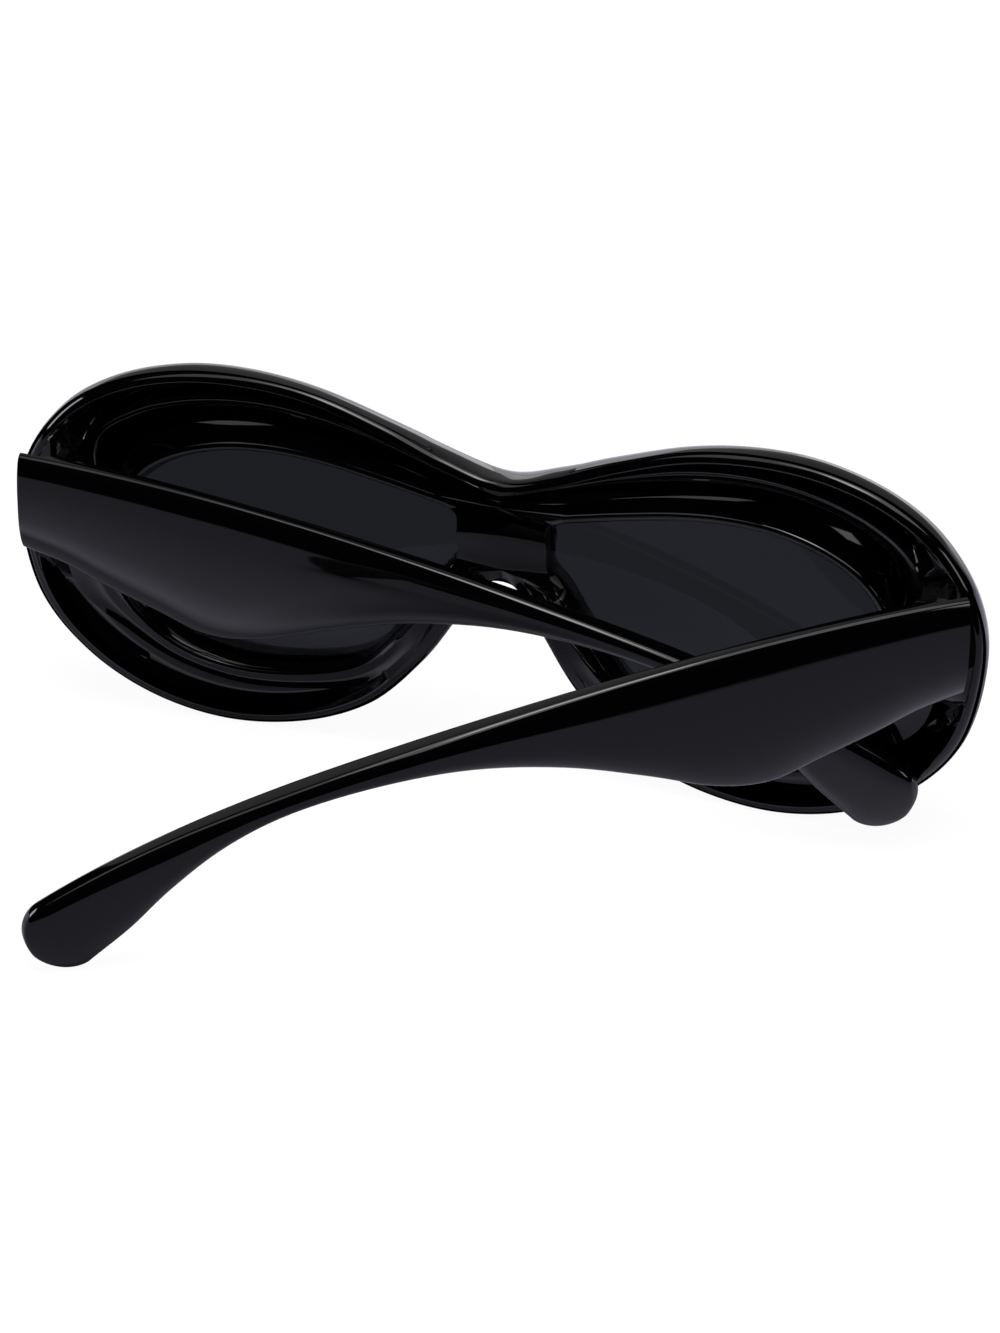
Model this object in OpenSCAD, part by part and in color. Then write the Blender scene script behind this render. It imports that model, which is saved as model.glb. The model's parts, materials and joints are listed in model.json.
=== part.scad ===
/* [Front] */
// Width of the front over both lobes
front_w = 148.4; // [135:0.2:160]
// Height unit of the front: the brow crest stands this far above the lens line
half_h = 30; // [26:0.5:33]
// How far the ends of the front wrap back toward the wearer
wrap_depth = 3.7; // [2:0.1:6]
// Depth of the puffed front crest before the rear edge
crest_depth = 9.2; // [8:0.1:10]
// How far the puffed outside swells past the rear edge
swell = 1.4; // [0:0.1:1.6]
// Depth of the front edge of the lens opening
opening_depth = 6.8; // [6:0.1:7.2]

/* [Rear hollow] */
// Depth of the hollow channel in the back of the front
channel_depth = 4.4; // [3:0.1:5]
// Width of the flat lip round the outside of the channel
lip_w = 1.6; // [1.2:0.1:2]
// Rise of the rounded edges of the lip and the ring
edge_round = 0.3; // [0.2:0.05:0.5]
// How far the ring's inner ridge lies before the lip
rim_depth = 1.2; // [0.8:0.1:1.6]
// Width of the bevel between that ridge and the lens opening
rim_w = 2; // [1:0.1:2.4]
// Depth of the scooped slope between the ring and that ridge, past the ridge
scoop_depth = 1; // [0.2:0.1:1.2]
// Height of the nose pads behind the ring
nose_pad_rise = 1.6; // [1:0.1:2.5]

/* [Lenses] */
// Thickness of a lens
lens_t = 1.8; // [1.4:0.1:2]
// Depth of the rear of a lens before the lip
lens_back = 3.3; // [3.1:0.1:3.6]
// How far a lens sits into its groove
lens_bite = 0.6; // [0.5:0.05:0.8]
// Clearance round a lens in its groove
lens_gap = 0.05; // [0.03:0.01:0.1]

/* [Temples] */
// Length of a temple from its butt to the end of its tip
temple_l = 146; // [135:1:152]
// Height of the temple at the butt
butt_h = 16.2; // [15:0.2:18]
// Height of the top edge of the butt above the lens line
butt_top = 16.9; // [16:0.1:18]
// Thickness of a temple
temple_t = 3.4; // [3.2:0.1:4]
// How far the outer face of a temple crowns past its edges
temple_crown = 1.1; // [0.4:0.1:1.4]
// Droop that the top edge gathers steadily to its tip, degrees
arm_droop = 20.5; // [14:0.5:24]
// Further droop behind the ear, degrees
ear_bend = 15; // [8:0.5:22]
// How far the temple bows inward at its tip
temple_bow = 9; // [5:0.5:10]
// Length of the rounded end of the tip
tip_round = 5.8; // [4:0.1:7]

/* [Hinges] */
// Distance of each hinge pin in from the end of the front
pin_inset = 5.6; // [4:0.1:8]
// Distance of the pin behind the flat hinge seat
pin_back = 4.2; // [4:0.1:5]
// Distance from the pin to the butt of the temple
pin_to_butt = 3.2; // [2.8:0.1:3.6]
// Distance from the pin to the outer face of the temple
pin_to_face = 3.3; // [3:0.1:3.8]
// Radius of a hinge pin
pin_r = 0.7; // [0.5:0.05:0.8]
// Running clearance round the pin
pin_play = 0.03; // [0.02:0.01:0.08]
// Outer radius of a hinge knuckle
knuckle_r = 1.4; // [1.2:0.05:1.6]
// Height of each of the three knuckles
knuckle_h = 2.2; // [1.8:0.1:2.4]
// Gap between knuckles
knuckle_gap = 0.06; // [0.04:0.01:0.1]
// Thickness of the hinge leaves
leaf_t = 0.8; // [0.6:0.1:1]
// Angle at which the folded left temple clears the front
left_open = 2; // [1.6:0.1:6]
// Angle by which the right temple stands open
right_open = 35; // [28:0.5:60]

/* [Stance] */
// Lean of the front toward the wearer as it stands on its lobes and one tip, degrees
rest_lean = 2.7; // [0:0.1:4]

/* [Hidden] */

half_w = front_w / 2;
pin_out = half_w - pin_inset;

// Twenty-one spokes run round each lens, from its opening to the edge of the front.
// Each share is across by half the width and up by the height unit.
// Spoke 0 points outward, 5 up, 9 to 11 meet the middle of the bridge and 17 down.
outline_shares = [
    [1.00, 0.12], [0.975, 0.44], [0.90, 0.72], [0.80, 0.90], [0.67, 1.005], [0.525, 1.025],
    [0.38, 0.975], [0.235, 0.85], [0.11, 0.715], [0, 0.64], [0, 0.37], [0, 0.10],
    [0.06, 0.04], [0.105, -0.21], [0.17, -0.475], [0.27, -0.745], [0.41, -0.915],
    [0.575, -0.97], [0.73, -0.88], [0.865, -0.66], [0.96, -0.335]];
opening_shares = [
    [0.805, -0.02], [0.785, 0.205], [0.74, 0.37], [0.67, 0.485], [0.575, 0.555], [0.475, 0.57],
    [0.37, 0.545], [0.25, 0.485], [0.145, 0.425], [0.10, 0.405], [0.0985, 0.27], [0.10, 0.14],
    [0.135, 0.02], [0.175, -0.15], [0.225, -0.335], [0.295, -0.52], [0.41, -0.62],
    [0.545, -0.645], [0.665, -0.565], [0.75, -0.40], [0.795, -0.215]];
// Where the flat ring starts and where the channel starts, as shares of each spoke
ring_shares = [
    [0.15, 0.56], [0.20, 0.58], [0.56, 0.68], [0.62, 0.71], [0.64, 0.73], [0.66, 0.76],
    [0.67, 0.78], [0.74, 0.81], [0.78, 0.85], [0.84, 0.865], [0.60, 0.80], [0.38, 0.70],
    [0.28, 0.66], [0.20, 0.60], [0.12, 0.55], [0.10, 0.50], [0.07, 0.33], [0.07, 0.27],
    [0.09, 0.27], [0.10, 0.34], [0.10, 0.54]];
spokes = len(outline_shares);

// Rays fill in between the spokes, closer together past the spokes where a channel ends
ray_steps = 4;
close_steps = 8;
close_spokes = [1, 8, 14, 20];
ray_places = [for (base = [0:spokes - 1])
    let (count = len(search(base, close_spokes)) > 0 ? close_steps : ray_steps)
    for (n = [0:count - 1]) base + n / count];
rays = len(ray_places);

// Spokes between which each stretch of the channel fades in and out
brow_channel = [1.35, 1.9, 7.2, 8.8];
under_channel = [14.5, 15.0, 20.0, 20.6];
// Spokes between which the hinge seat, the nose pad and the bridge fade in and out
seat_span = [-1.0, -0.4, 1.4, 2.2];
pad_span = [11.4, 12.6, 13.2, 14.6];
bridge_span = [8.0, 9.0, 11.0, 12.0];
// Spokes between which the face is fuller toward its edge, and where it swells past it less
full_span = [6.5, 9.0, 11.0, 12.5];
brow_span = [4.0, 6.5, 7.5, 8.6];
foot_span = [12.5, 14.5, 19.0, 20.5];

function ramp(low, high, k) =
    let (share = min(1, max(0, (k - low) / (high - low)))) share * share * (3 - 2 * share);
function span(stops, k) = ramp(stops[0], stops[1], k) * (1 - ramp(stops[2], stops[3], k));
function channel_share(k) = span(brow_channel, k) + span(under_channel, k);
function swell_share(k) = (1 - span(bridge_span, k)) * (1 - 0.6 * span(brow_span, k))
    * (1 - 0.35 * span(foot_span, k));
function seat_share(k) = span(seat_span, k > spokes / 2 ? k - spokes : k);
function pad_share(k) = span(pad_span, k);

// Smooth curve through four neighbouring points, a share of the way from the second to the third
function curve(before, start, end, after, share) =
    let (run = share * share, cube = run * share)
    (2 * start + (end - before) * share + (2 * before - 5 * start + 4 * end - after) * run
    + (3 * start - before - 3 * end + after) * cube) / 2;
function on_ring(list, k) =
    let (base = floor(k), share = k - base, count = len(list))
    curve(list[(base + count - 1) % count], list[base % count], list[(base + 1) % count],
        list[(base + 2) % count], share);
function mirrored(point) = [-point[0], point[1]];
function sized(share) = [share[0] * half_w, share[1] * half_h];

// The outline is straight along the middle plane from spoke 9 to spoke 11 and smooth across it
bridge_top = 9;
bridge_foot = 11;
function in_middle(k) = k >= bridge_top && k <= bridge_foot;
function outline_share(k) =
    let (base = floor(k), share = k - base, count = spokes, list = outline_shares)
    in_middle(k) ? [0, base == k ? list[base][1]
        : list[base][1] + (list[base + 1][1] - list[base][1]) * share]
    : base == bridge_top - 1
        ? curve(list[base - 1], list[base], list[base + 1], mirrored(list[base]), share)
    : base == bridge_foot
        ? curve(mirrored(list[base + 1]), list[base], list[base + 1], list[base + 2], share)
    : on_ring(list, k);

opening = [for (k = ray_places) sized(on_ring(opening_shares, k))];
outline = [for (k = ray_places) sized(outline_share(k))];
ring = [for (k = ray_places) on_ring(ring_shares, k)];

// Depth of the rear face of the front, which wraps back toward its ends
wrap_rate = wrap_depth / (half_w * half_w);
seat_x = pin_out * 0.96;
seat_y = wrap_rate * seat_x * seat_x;
pin_y = seat_y + pin_back;
function rear_y(x) = wrap_rate * x * x;

// The ridge round a lens opening leaves its ray at the bridge and crosses the middle in one line.
// Each share is of the height unit.
ridge_top = 0.485;
ridge_foot = 0.165;
function mixed(a, b, share) = a * (1 - share) + b * share;
function ridge_at(k, straight) =
    let (share = span(bridge_span, k),
        fall = min(1, max(0, (k - bridge_top) / (bridge_foot - bridge_top))))
    mixed(straight, [0, half_h * mixed(ridge_top, ridge_foot, fall)], share);
ridge = [for (i = [0:rays - 1])
    let (reach = norm(outline[i] - opening[i]), bevel = min(rim_w, ring[i][0] * reach * 0.6))
    ridge_at(ray_places[i], opening[i] + (outline[i] - opening[i]) / reach * bevel)];
rim_run = [for (i = [0:rays - 1]) norm(ridge[i] - opening[i])];
ring_run = [for (i = [0:rays - 1]) norm(outline[i] - ridge[i])];

// Section of the front along one ray: how far out from the opening, and how far back.
// The front face swells from the opening to a crest and rounds back to the rear edge.
// At the bridge one of its points lies on the middle plane, and there it runs level into the other half.
puff_steps = 8;
middle_step = 5;
full_power = 0.75;
bridge_power = 2.2;
arch_fall = 0.15 * crest_depth;
function narrowing(length) = min(1, length / (half_h / 3));
function past_middle(n) = sin(90 * (n - middle_step) / (puff_steps - middle_step));
function middle_t(n, corner) = n <= middle_step ? corner * (1 - cos(90 * n / middle_step))
    : mixed(corner, 1, past_middle(n));
function middle_depth(n, crest) = n <= middle_step
    ? mixed(opening_depth, crest, sin(90 * n / middle_step))
    : crest * pow(1 - pow(past_middle(n), bridge_power), 1 / bridge_power);
function puff(n, i) =
    let (k = ray_places[i], length = rim_run[i] + ring_run[i], bend = span(bridge_span, k),
        t = mixed((1 - cos(180 * n / puff_steps)) / 2, middle_t(n, rim_run[i] / length), bend),
        turn = acos(1 - 2 * t),
        lobe = opening_depth * (1 - t) + (crest_depth - opening_depth / 2)
            * pow(sin(turn), mixed(1, full_power, span(full_span, k))) * narrowing(length),
        crest = crest_depth - arch_fall * ramp(bridge_foot - 1, bridge_foot, k))
    [t * length + swell * swell_share(k) * max(0, -sin(2 * turn)),
        -mixed(lobe, middle_depth(n, crest), bend)];
groove_front = lens_back + lens_t + lens_gap;
groove_back = lens_back - lens_gap;
edge_depth = 2 * edge_round;

// Each rear face runs from the outline to the ridge and on to the opening
function rear_section(i) =
    let (k = ray_places[i], length = rim_run[i] + ring_run[i],
        narrow = ring_run[i] * span(bridge_span, k),
        inner = max(ring[i][0] * length, rim_run[i] + narrow * 0.1),
        outer = max(ring[i][1] * length, rim_run[i] + narrow * 0.16),
        lip = min(lip_w, ring_run[i] * 0.8), channel = length - lip,
        floor_y = -channel_depth * channel_share(k), wall = (channel - outer) * 0.2,
        scoop = (inner + rim_run[i]) / 2, pad = nose_pad_rise * pad_share(k))
    [[length, -edge_round],
        [length - min(edge_round, lip * 0.2), 0],
        [channel + min(edge_round, lip * 0.2), 0],
        [channel, floor_y == 0 ? 0 : max(-edge_round, floor_y)],
        [channel - wall, floor_y * 0.8],
        [(channel + outer) / 2, floor_y + pad * 0.5],
        [outer + wall, floor_y * 0.8 + pad * 0.8],
        [outer, max(-edge_round, floor_y) + pad],
        [outer - (outer - inner) * 0.3, pad],
        [inner + (outer - inner) * 0.3, pad],
        [inner, -edge_round + pad * 0.8],
        [scoop, -rim_depth - scoop_depth * min(1, (inner - rim_run[i]) / rim_w)],
        [rim_run[i], -rim_depth],
        [min(rim_run[i], rim_w) / 2, -rim_depth - edge_round]];
function front_section(i) = concat([[0, -groove_front], [0, -opening_depth]],
    [for (n = [1:puff_steps - 1]) puff(n, i)], [puff(puff_steps, i) - [0, edge_depth]]);
function section(i) = concat(front_section(i), rear_section(i),
    [[0, -groove_back], [lens_bite, -groove_back], [lens_bite, -groove_front]]);
sections = [for (i = [0:rays - 1]) section(i)];
front_end = puff_steps + 1;
rear_end = front_end + 1;
seat_first = rear_end + 3;
seat_last = rear_end + 9;
ridge_point = rear_end + 12;
middle_point = middle_step + 1;
ring_points = len(sections[0]);

// The rear face of the bridge lies at the depth of the ridge down to the nose arch
function sunk(j, k) = j >= rear_end && j < ridge_point && k > bridge_foot - 1
    ? rim_depth * (1 - ramp(bridge_foot, bridge_span[3], k)) : 0;

function along_ray(i, out) =
    out < rim_run[i] ? mixed(opening[i], ridge[i], out / rim_run[i])
    : mixed(ridge[i], outline[i], (out - rim_run[i]) / ring_run[i]);
function front_point(i, j, side) =
    let (k = ray_places[i], at = sections[i][j], place = along_ray(i, at[0]),
        flat = j >= seat_first && j <= seat_last ? seat_share(k) : 0)
    [side * place[0], (rear_y(place[0]) + at[1] - sunk(j, k)) * (1 - flat) + seat_y * flat,
        place[1]];
function shared(i, j) = in_middle(ray_places[i]) && j >= middle_point && j <= ridge_point;
function front_index(i, j, half) =
    (shared(i % rays, j % ring_points) ? 0 : half) * rays * ring_points
    + (i % rays) * ring_points + j % ring_points;
function bridged(i, j) = j >= middle_point && j < ridge_point && in_middle(ray_places[i])
    && in_middle(ray_places[(i + 1) % rays]);
function two_triangles(a, b, c, d, half) =
    half == 0 ? [[c, b, a], [d, c, a]] : [[a, b, c], [a, c, d]];

module front_frame() {
    points = [for (side = [1, -1]) for (i = [0:rays - 1]) for (j = [0:ring_points - 1])
        front_point(i, j, side)];
    faces = [for (half = [0, 1]) for (i = [0:rays - 1]) for (j = [0:ring_points - 1])
        if (!bridged(i, j))
            each two_triangles(front_index(i, j, half), front_index(i, j + 1, half),
                front_index(i + 1, j + 1, half), front_index(i + 1, j, half), half)];
    color("black") stood() polyhedron(points, faces);
}

// A lens is a plate that follows the wrap, in rings from its edge to its middle
lens_rings = [1, 0.5];
lens_middle_share = [0.45, -0.02];
module lens(side) {
    middle = sized(lens_middle_share);
    edge = [for (i = [0:rays - 1]) let (along = ridge[i] - opening[i])
        opening[i] + along / norm(along) * (lens_bite - lens_gap)];
    rings = len(lens_rings);
    sheet = rings * rays + 1;
    points = [for (back = [lens_back, lens_back + lens_t]) each concat(
        [for (share = lens_rings) for (i = [0:rays - 1]) let (at = middle + (edge[i] - middle) * share)
            [side * at[0], rear_y(at[0]) - back, at[1]]],
        [[side * middle[0], rear_y(middle[0]) - back, middle[1]]])];
    function turned(face, back) = (back == 0) == (side == 1) ? [face[2], face[1], face[0]] : face;
    skins = [for (back = [0, 1]) let (base = back * sheet) each concat(
        [for (r = [0:rings - 2]) for (i = [0:rays - 1])
            let (a = base + r * rays + i, b = base + r * rays + (i + 1) % rays)
            each [turned([a, a + rays, b + rays], back), turned([a, b + rays, b], back)]],
        [for (i = [0:rays - 1]) let (last = base + (rings - 1) * rays)
            turned([last + i, base + rings * rays, last + (i + 1) % rays], back)])];
    rim = [for (i = [0:rays - 1]) let (next = (i + 1) % rays)
        each [turned([i, next, sheet + next], 0), turned([i, sheet + next, sheet + i], 0)]];
    color([0.11, 0.11, 0.13]) stood() polyhedron(points, concat(skins, rim));
}
module lens_left() { lens(1); }
module lens_right() { lens(-1); }

// Stations along a temple as shares of its length, with its depth below the top edge at each
// as a share of the butt height
station_shares = [0, 0.05, 0.10, 0.16, 0.22, 0.28, 0.35, 0.43, 0.52, 0.61, 0.70, 0.77, 0.84, 0.90, 0.96];
depth_shares = [1, 1.09, 1.23, 1.36, 1.47, 1.36, 1.05, 0.71, 0.43, 0.28, 0.23, 0.31, 0.50, 0.69, 0.79];
droop_power = 0.73;
ear_start = 0.6;
bow_start = 0.08;
arm_steps = 3;
arm_stations = (len(station_shares) - 1) * arm_steps;
tip_steps = 6;
section_points = 16;
edge_power = 0.55;
face_power = 0.4;

function between(list, k) =
    let (last = len(list) - 1, base = min(floor(k), last - 1), share = k - base)
    curve(list[max(0, base - 1)], list[base], list[base + 1], list[min(last, base + 2)], share);
function past(run, start) = max(0, (run / temple_l - start) / (1 - start));
function droop(run) = arm_droop * pow(run / temple_l, droop_power)
    + ear_bend * pow(past(run, ear_start), 2);
// Height of the top edge, summed along the arm in short runs
sum_runs = 40;
function top_place(run) =
    let (step = run / sum_runs)
    [step * sum_of([for (n = [0.5:1:sum_runs]) cos(droop(n * step))]),
        butt_top - step * sum_of([for (n = [0.5:1:sum_runs]) sin(droop(n * step))])];
function sum_of(list, n = 0) = n < len(list) ? list[n] + sum_of(list, n + 1) : 0;

// Each station is its run along the top edge, its depth, and how much its rounded end narrows it
tip_start = station_shares[len(station_shares) - 1] * temple_l;
arm = concat(
    [for (n = [0:arm_stations]) [between(station_shares, n / arm_steps) * temple_l,
        between(depth_shares, n / arm_steps) * butt_h, 1]],
    [for (n = [1:tip_steps]) let (angle = 90 * n / tip_steps - (n == tip_steps ? 4 : 0))
        [tip_start + tip_round * sin(angle), depth_shares[len(depth_shares) - 1] * butt_h,
            cos(angle)]]);

// A section is crowned outside and nearly flat inside
function powered(value, power) = sign(value) * pow(abs(value), power);
function arm_point(station, n) =
    let (place = top_place(station[0]), tilt = droop(station[0]), half = station[1] / 2,
        angle = 360 * n / section_points + 180 / section_points,
        up = powered(cos(angle), edge_power), down = half - half * station[2] * up,
        thin = temple_t / 2 * (0.35 + 0.65 * station[2]),
        back = pin_to_face - temple_t / 2 + thin * powered(sin(angle), face_power)
            - (sin(angle) > 0 ? temple_crown * up * up * station[2] : 0)
            - temple_bow * pow(past(station[0], bow_start), 2))
    [pin_out + pin_to_butt - place[0] + down * sin(tilt), pin_y + back,
        place[1] - down * cos(tilt)];

module arm_body() {
    stations = len(arm);
    points = [for (station = arm) for (n = [0:section_points - 1]) arm_point(station, n)];
    sides = [for (s = [0:stations - 2]) for (n = [0:section_points - 1])
        let (a = s * section_points + n, b = s * section_points + (n + 1) % section_points)
        each [[b + section_points, b, a], [a + section_points, b + section_points, a]]];
    caps = [[for (n = [0:section_points - 1]) n],
        [for (n = [section_points - 1:-1:0]) (stations - 1) * section_points + n]];
    polyhedron(points, concat(sides, caps));
}

// Heights of the hinge
stack_h = 3 * knuckle_h;
head_below = 3.2;
stack_foot = butt_top - stack_h - head_below;
slot_gap = 0.35;
slot_r = knuckle_r + slot_gap;

// The temple's butt is slotted round the knuckles, open to its end, its inner face and its top
module knuckle_slot() {
    translate([pin_out, pin_y, stack_foot - slot_gap]) {
        cylinder(r = slot_r, h = butt_h, $fn = 48);
        translate([0, -2 * slot_r, 0]) cube([2 * pin_to_butt, 3 * slot_r, butt_h]);
    }
}

leaf_l = 4.6;
leaf_h = 2.5 * knuckle_h;
module at_pin(foot) { translate([pin_out, pin_y, foot]) children(); }
module knuckle(foot, height) {
    at_pin(foot) cylinder(r = knuckle_r, h = height, $fn = 48);
}

// Everything below is drawn for the left side, folded flat, and set in place by placed()
module placed(side, open = 0) {
    stood() mirror([side == 1 ? 0 : 1, 0, 0]) translate([pin_out, pin_y, 0]) rotate([0, 0, -open])
        translate([-pin_out, -pin_y, 0]) children();
}

// The part stands on its two lobes and on the tip of the open temple
foot_drop = 29.35;
stand_back = 33.86;
module stood() {
    translate([0, -stand_back, foot_drop]) rotate([-rest_lean, 0, 0]) children();
}

module temple(side, open) {
    color("black") placed(side, open) difference() {
        arm_body();
        knuckle_slot();
    }
}
module temple_left() { temple(1, left_open); }
module temple_right() { temple(-1, right_open); }

// The front leaf is a plate on the hinge seat with an upper and a lower knuckle
module front_leaf(side) {
    color("silver") placed(side) difference() {
        union() {
            translate([pin_out - leaf_l, seat_y, stack_foot]) cube([leaf_l, leaf_t, leaf_h]);
            for (n = [0, 2]) {
                foot = stack_foot + n * knuckle_h + (n == 0 ? 0 : knuckle_gap);
                height = knuckle_h - knuckle_gap;
                knuckle(foot, height);
                translate([pin_out - knuckle_r, seat_y, foot])
                    cube([knuckle_r, pin_back, height]);
            }
        }
        at_pin(0) cylinder(r = pin_r + pin_play, h = 2 * butt_h, $fn = 48);
    }
}
module hinge_front_leaf_left() { front_leaf(1); }
module hinge_front_leaf_right() { front_leaf(-1); }

// The temple leaf is a plate on the inner face of the temple with the middle knuckle
module temple_leaf(side, open) {
    plate_y = pin_y + pin_to_face - temple_t - leaf_t;
    color("silver") placed(side, open) difference() {
        union() {
            translate([pin_out - slot_r - leaf_l, plate_y, stack_foot])
                cube([leaf_l, leaf_t, leaf_h]);
            translate([pin_out - slot_r - leaf_l, plate_y, stack_foot + knuckle_h])
                cube([leaf_l + slot_r, leaf_t, knuckle_h]);
            knuckle(stack_foot + knuckle_h, knuckle_h);
        }
        at_pin(0) cylinder(r = pin_r + pin_play, h = 2 * butt_h, $fn = 48);
    }
}
module hinge_temple_leaf_left() { temple_leaf(1, left_open); }
module hinge_temple_leaf_right() { temple_leaf(-1, right_open); }

// The screw drops through all three knuckles, its slotted head on the upper one
head_r = 1.2;
head_h = 0.7;
module screw(side) {
    color("silver") placed(side) difference() {
        union() {
            at_pin(stack_foot) cylinder(r = pin_r, h = stack_h, $fn = 48);
            at_pin(stack_foot + stack_h) cylinder(r = head_r, h = head_h, $fn = 48);
        }
        translate([pin_out - head_r, pin_y - head_h / 4, stack_foot + stack_h + head_h / 2])
            cube([2 * head_r, head_h / 2, head_h]);
    }
}
module hinge_screw_left() { screw(1); }
module hinge_screw_right() { screw(-1); }

front_frame();
lens_left();
lens_right();
temple_left();
temple_right();
hinge_front_leaf_left();
hinge_front_leaf_right();
hinge_temple_leaf_left();
hinge_temple_leaf_right();
hinge_screw_left();
hinge_screw_right();
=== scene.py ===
# %% [markdown]
# # Oversized sunglasses
# The pair has a puffed, glossy black front with a hollow back, two dark lenses, and two broad temples on
# small steel hinges. It lies on its front's two lobes, with one temple folded and the other half open.
# The CAD frame already holds every piece at its true place, so this lesson only makes finer surfaces for
# the front, the lenses and the temples, gives every piece its finish, and lights it like a product photo.

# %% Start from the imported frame
import json
from math import acos, asin, cos, degrees, pi, radians, sin

import bmesh
import bpy
from mathutils import Matrix, Vector

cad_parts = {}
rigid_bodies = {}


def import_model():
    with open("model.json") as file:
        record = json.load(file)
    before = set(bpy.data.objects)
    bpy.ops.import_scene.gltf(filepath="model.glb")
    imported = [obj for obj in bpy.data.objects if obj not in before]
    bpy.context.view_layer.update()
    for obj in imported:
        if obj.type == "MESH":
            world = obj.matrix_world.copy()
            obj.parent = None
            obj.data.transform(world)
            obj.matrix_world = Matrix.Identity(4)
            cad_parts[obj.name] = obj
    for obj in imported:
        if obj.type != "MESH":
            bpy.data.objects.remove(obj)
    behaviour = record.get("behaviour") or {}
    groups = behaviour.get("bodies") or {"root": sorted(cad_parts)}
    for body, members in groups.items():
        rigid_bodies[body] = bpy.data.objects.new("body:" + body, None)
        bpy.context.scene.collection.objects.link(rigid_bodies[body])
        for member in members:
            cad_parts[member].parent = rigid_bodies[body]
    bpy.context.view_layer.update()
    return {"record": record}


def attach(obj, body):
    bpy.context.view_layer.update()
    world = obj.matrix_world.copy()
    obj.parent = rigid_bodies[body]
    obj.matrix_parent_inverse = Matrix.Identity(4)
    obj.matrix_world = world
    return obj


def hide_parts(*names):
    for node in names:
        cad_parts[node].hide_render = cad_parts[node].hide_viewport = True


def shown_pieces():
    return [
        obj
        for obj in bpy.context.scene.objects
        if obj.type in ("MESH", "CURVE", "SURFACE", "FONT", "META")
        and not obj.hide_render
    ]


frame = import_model()
mm = 0.001

# %% [markdown]
# The front was drawn upright and then leaned back a little, as it stands on its lobes and one temple tip.
# The hinge axis leans with it, so the joint in the record gives back that lean, and the place of the left
# hinge pin gives back where the middle of the front went. All the curves below are drawn in the front's own
# upright space, in millimetres, and `stood` puts them in place. The rear of the front wraps back toward its
# ends, where a flat seat carries the hinge, and the hinge pin stands a little behind that seat.

# %% Find the stance from the left hinge
joints = {joint["name"]: joint for joint in frame["record"]["behaviour"]["joints"]}
left_pin = Vector(joints["left_hinge"]["pos_m"]) / mm
lean = asin(abs(joints["left_hinge"]["axis"][1]))

front_w = 148.4
half_w = front_w / 2
half_h = 30.0
wrap_depth = 3.7
pin_out = left_pin.x
pin_back = 4.2
pin_up = 10.4
seat_out = pin_out * 0.96
wrap_rate = wrap_depth / half_w ** 2
seat_y = wrap_rate * seat_out ** 2
pin_y = seat_y + pin_back

leaned = Matrix.Rotation(-lean, 4, "X")
stood = Matrix.Translation(left_pin - leaned @ Vector((pin_out, pin_y, pin_up))) @ leaned
print("lean of the front: %.2f degrees" % degrees(lean))

# %% [markdown]
# ## Curves
# A spectacle front is drawn as two closed curves: the edge of the front and the opening for the lens.
# Twenty-one spokes join them. Spoke 0 points outward, 5 up, 9 to 11 meet the middle of the bridge, and 17
# points down. Both curves are given as shares of half the width and half the height. The third list tells,
# for each spoke, where the two ridges of the inner ring lie, as shares of the way from opening to edge.

# %% Spokes of the front
outline_shares = [
    (1.004, 0.12), (0.982, 0.445), (0.907, 0.727), (0.803, 0.905), (0.67, 1.005), (0.525, 1.025),
    (0.38, 0.975), (0.235, 0.85), (0.11, 0.715), (0, 0.64), (0, 0.35), (0, 0.055),
    (0.06, 0.0), (0.105, -0.21), (0.17, -0.475), (0.27, -0.745), (0.41, -0.915),
    (0.575, -0.97), (0.735, -0.883), (0.872, -0.668), (0.968, -0.34)]
opening_shares = [
    (0.805, -0.02), (0.785, 0.205), (0.74, 0.37), (0.67, 0.485), (0.575, 0.555), (0.475, 0.57),
    (0.37, 0.545), (0.25, 0.485), (0.145, 0.425), (0.10, 0.405), (0.0985, 0.27), (0.10, 0.14),
    (0.135, 0.02), (0.175, -0.15), (0.225, -0.335), (0.295, -0.52), (0.41, -0.62),
    (0.545, -0.645), (0.665, -0.565), (0.75, -0.40), (0.795, -0.215)]
ring_shares = [
    (0.15, 0.56), (0.20, 0.58), (0.56, 0.68), (0.62, 0.71), (0.64, 0.73), (0.66, 0.76),
    (0.67, 0.78), (0.74, 0.81), (0.78, 0.85), (0.84, 0.865), (0.60, 0.80), (0.38, 0.70),
    (0.28, 0.66), (0.20, 0.60), (0.12, 0.55), (0.10, 0.50), (0.07, 0.33), (0.07, 0.27),
    (0.09, 0.27), (0.10, 0.34), (0.10, 0.54)]
spokes = len(outline_shares)
bridge_top, bridge_foot = 9, 11
print("spokes:", spokes, "of them at the bridge:", bridge_foot - bridge_top + 1)

# %% [markdown]
# A smooth curve runs through the spokes' ends: at each place it looks at four neighbouring points. At the
# bridge the next point of the outline would belong to the other half. So there the curve is led on by its
# own mirror image, and the two halves meet without a crease.

# %% Smooth curves through the spokes
def smooth(before, start, end, after, share):
    """A smooth curve through four neighbouring points, between the second and the third."""
    def along(a, b, c, d):
        return (2 * b + (c - a) * share + (2 * a - 5 * b + 4 * c - d) * share ** 2
                + (3 * b - a - 3 * c + d) * share ** 3) / 2
    return tuple(along(*four) for four in zip(before, start, end, after))


def on_ring(points, k):
    base = int(k)
    near = [points[(base + step) % len(points)] for step in (-1, 0, 1, 2)]
    return smooth(*near, k - base)


def mirrored(point):
    return -point[0], point[1]


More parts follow.
